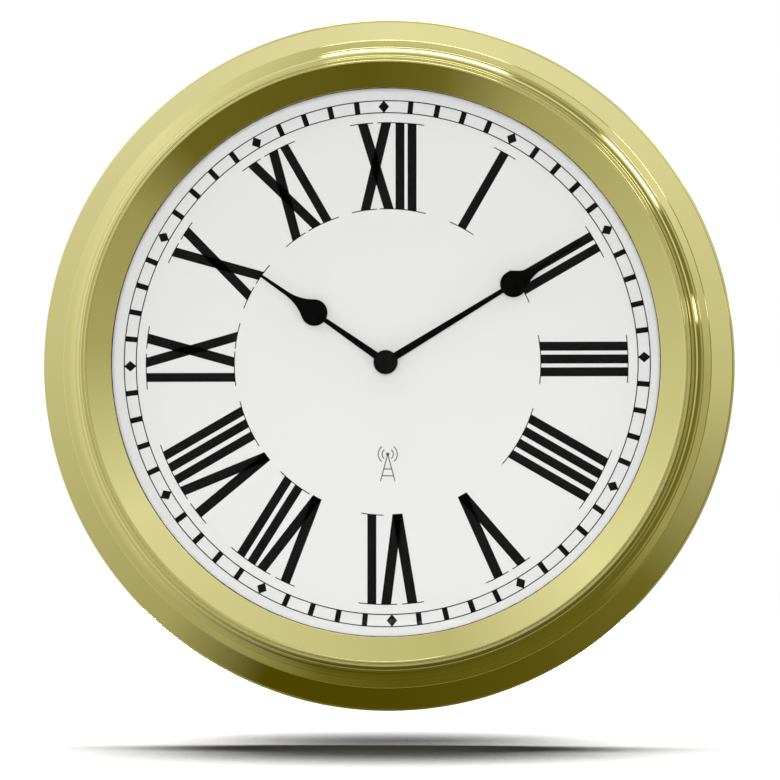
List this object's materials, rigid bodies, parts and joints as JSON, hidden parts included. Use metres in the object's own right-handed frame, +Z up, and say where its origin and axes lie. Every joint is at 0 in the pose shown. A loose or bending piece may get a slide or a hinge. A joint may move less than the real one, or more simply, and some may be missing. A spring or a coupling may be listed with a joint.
{
  "type": "wall clock",
  "caption": "Round radio-controlled wall clock with a stepped gold bezel, flat glass, white dial and black spade hands, hung by a keyhole at the back.",
  "frame": {"origin": "the point on the wall plane where the hanging screw sits at the top of the keyhole slot", "axes": "+Z up, -Y out of the dial towards the reader, +Y into the wall, +X to the reader's right"},
  "size_m": [0.3, 0.0406, 0.3],
  "materials": {
    "bezel_gold": "metallised, high gloss",
    "clear_glass": "clear, polished",
    "black_rubber": "matt",
    "white_ring": "satin",
    "dial_white": "matt white print ground",
    "back_black": "fine grain",
    "screw_steel": "zinc plated",
    "movement_black": "satin",
    "cover_black": "satin",
    "arbor_steel": "ground",
    "wheel_plastic": "natural acetal",
    "collet_brass": "turned",
    "magnet_grey": "sintered",
    "stator_steel": "stamped sheet",
    "bobbin_plastic": "satin",
    "copper_wire": "enamelled wire",
    "board_green": "solder mask",
    "resin_black": "potting resin",
    "can_metal": "drawn can",
    "capacitor_sleeve": "shrink sleeve",
    "switch_grey": "satin",
    "plunger_black": "satin",
    "button_white": "satin",
    "ferrite": "sintered",
    "battery_sleeve": null,
    "contact_nickel": "nickel plated spring sheet",
    "hand_black": "gloss black lacquer",
    "cap_black": "gloss"
  },
  "bodies": {
    "case": {"bezel": "bezel_gold", "glass": "clear_glass", "glass_seal": "black_rubber", "spacer_ring": "white_ring", "dial": "dial_white", "case_back": "back_black", "hanger_insert": "back_black", "case_screws": "screw_steel", "movement_housing": "movement_black", "movement_cover": "cover_black", "movement_screws": "screw_steel", "stator": "stator_steel", "coil_core": "stator_steel", "coil_bobbin": "bobbin_plastic", "coil_winding": "copper_wire", "circuit_board": "board_green", "control_chip": "resin_black", "crystals": "can_metal", "capacitor": "capacitor_sleeve", "tact_switches": "switch_grey", "antenna_rod": "ferrite", "antenna_winding": "copper_wire", "positive_contact": "contact_nickel", "negative_contact": "contact_nickel"},
    "minute_set": {"minute_arbor": "arbor_steel", "centre_wheel": "wheel_plastic", "minute_hand": "hand_black", "cap_nut": "cap_black"},
    "hour_set": {"hour_wheel": "wheel_plastic", "hour_collet": "collet_brass", "hour_hand": "hand_black"},
    "motion": {"motion_wheel": "wheel_plastic"},
    "second": {"second_wheel": "wheel_plastic"},
    "first": {"first_wheel": "wheel_plastic"},
    "rotor_set": {"rotor": "wheel_plastic", "rotor_magnet": "magnet_grey"},
    "set_key": {"set_button": "button_white", "set_plunger": "plunger_black"},
    "receive_key": {"receive_button": "button_white", "receive_plunger": "plunger_black"},
    "battery": {"battery": "battery_sleeve"}
  },
  "joints": [
    {"name": "minute_turn", "type": "hinge", "parent": "case", "child": "minute_set", "pos_m": [0, 0, -0.102], "axis": [0, 1, 0], "continuous": true},
    {"name": "hour_turn", "type": "hinge", "parent": "case", "child": "hour_set", "pos_m": [0, 0, -0.102], "axis": [0, 1, 0], "continuous": true},
    {"name": "motion_turn", "type": "hinge", "parent": "case", "child": "motion", "pos_m": [0.0087, 0, -0.10702], "axis": [0, 1, 0], "continuous": true},
    {"name": "second_turn", "type": "hinge", "parent": "case", "child": "second", "pos_m": [-0.00852, 0, -0.08723], "axis": [0, 1, 0], "continuous": true},
    {"name": "first_turn", "type": "hinge", "parent": "case", "child": "first", "pos_m": [0.00051, 0, -0.07647], "axis": [0, 1, 0], "continuous": true},
    {"name": "rotor_turn", "type": "hinge", "parent": "case", "child": "rotor_set", "pos_m": [0.00962, 0, -0.08072], "axis": [0, 1, 0], "continuous": true},
    {"name": "set_press", "type": "slide", "parent": "case", "child": "set_key", "axis": [0, -1, 0], "range_m": [0, 0.0008], "stiffness_N_per_m": 1900, "springref_m": -0.0002},
    {"name": "receive_press", "type": "slide", "parent": "case", "child": "receive_key", "axis": [0, -1, 0], "range_m": [0, 0.0008], "stiffness_N_per_m": 1900, "springref_m": -0.0002},
    {"name": "battery_slide", "type": "slide", "parent": "case", "child": "battery", "axis": [0, 1, 0], "range_m": [0, 0.017]}
  ],
  "couplings": [
    {"joint": "hour_turn", "follows": "minute_turn", "ratio": 0.083333},
    {"joint": "motion_turn", "follows": "minute_turn", "ratio": -0.33333},
    {"joint": "second_turn", "follows": "minute_turn", "ratio": -7.5},
    {"joint": "first_turn", "follows": "minute_turn", "ratio": 45},
    {"joint": "rotor_turn", "follows": "minute_turn", "ratio": -180}
  ]
}
